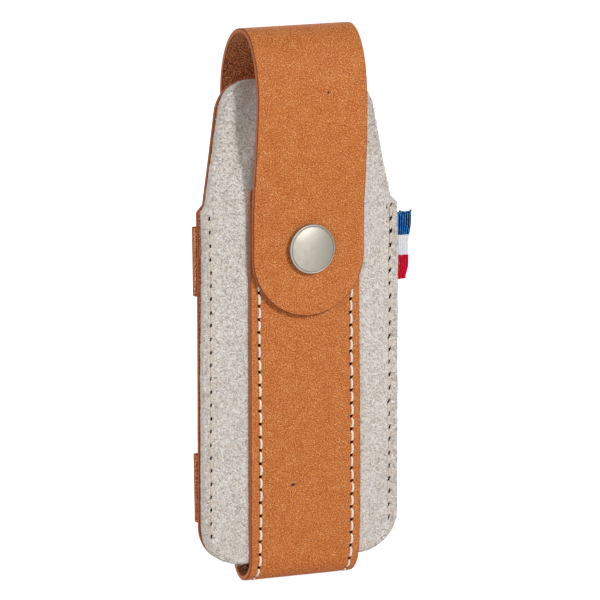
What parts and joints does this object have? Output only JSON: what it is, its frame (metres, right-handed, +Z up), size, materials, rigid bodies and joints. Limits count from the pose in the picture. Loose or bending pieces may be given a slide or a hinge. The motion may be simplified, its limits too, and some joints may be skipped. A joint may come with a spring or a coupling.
{
  "type": "belt pouch",
  "caption": "Slim upright belt pouch for a folding knife: felt front, leather back, and one leather strap round it that closes as a flap with a snap.",
  "frame": {"origin": "the middle of the belt passage behind the strap, halfway between the two bands", "axes": "+X to the right seen from the front, +Y from the felt front to the leather back, +Z up to the flap's arch"},
  "size_m": [0.0709, 0.0272, 0.1707],
  "materials": {
    "felt": "matte",
    "leather": "satin",
    "ribbon": "satin",
    "thread": "matte",
    "snap_metal": "satin"
  },
  "bodies": {
    "pouch": {"felt_front_panel": "felt", "back_leather_panel": "leather", "carry_strap": "leather", "lower_belt_band": "leather", "upper_belt_band": "leather", "ribbon_tag": "ribbon", "snap_stud": "snap_metal", "stud_rivet": "snap_metal", "left_side_seam": "thread", "right_side_seam": "thread", "left_strap_seam": "thread", "right_strap_seam": "thread"},
    "arch": {"flap_arch": "leather"},
    "flap": {"flap_tongue": "leather", "snap_cap": "snap_metal", "snap_socket": "snap_metal", "snap_ring_spring": "snap_metal"}
  },
  "joints": [
    {"name": "arch_swing", "type": "hinge", "parent": "pouch", "child": "arch", "pos_m": [0, -0.0007, 0.05125], "axis": [-1, 0, 0], "range_deg": [0, 52]},
    {"name": "flap_open", "type": "hinge", "parent": "arch", "child": "flap", "pos_m": [0, -0.01631, 0.09355], "axis": [-1, 0, 0], "range_deg": [0, 130]}
  ],
  "couplings": [
    {"joint": "arch_swing", "follows": "flap_open", "ratio": 0.4}
  ]
}
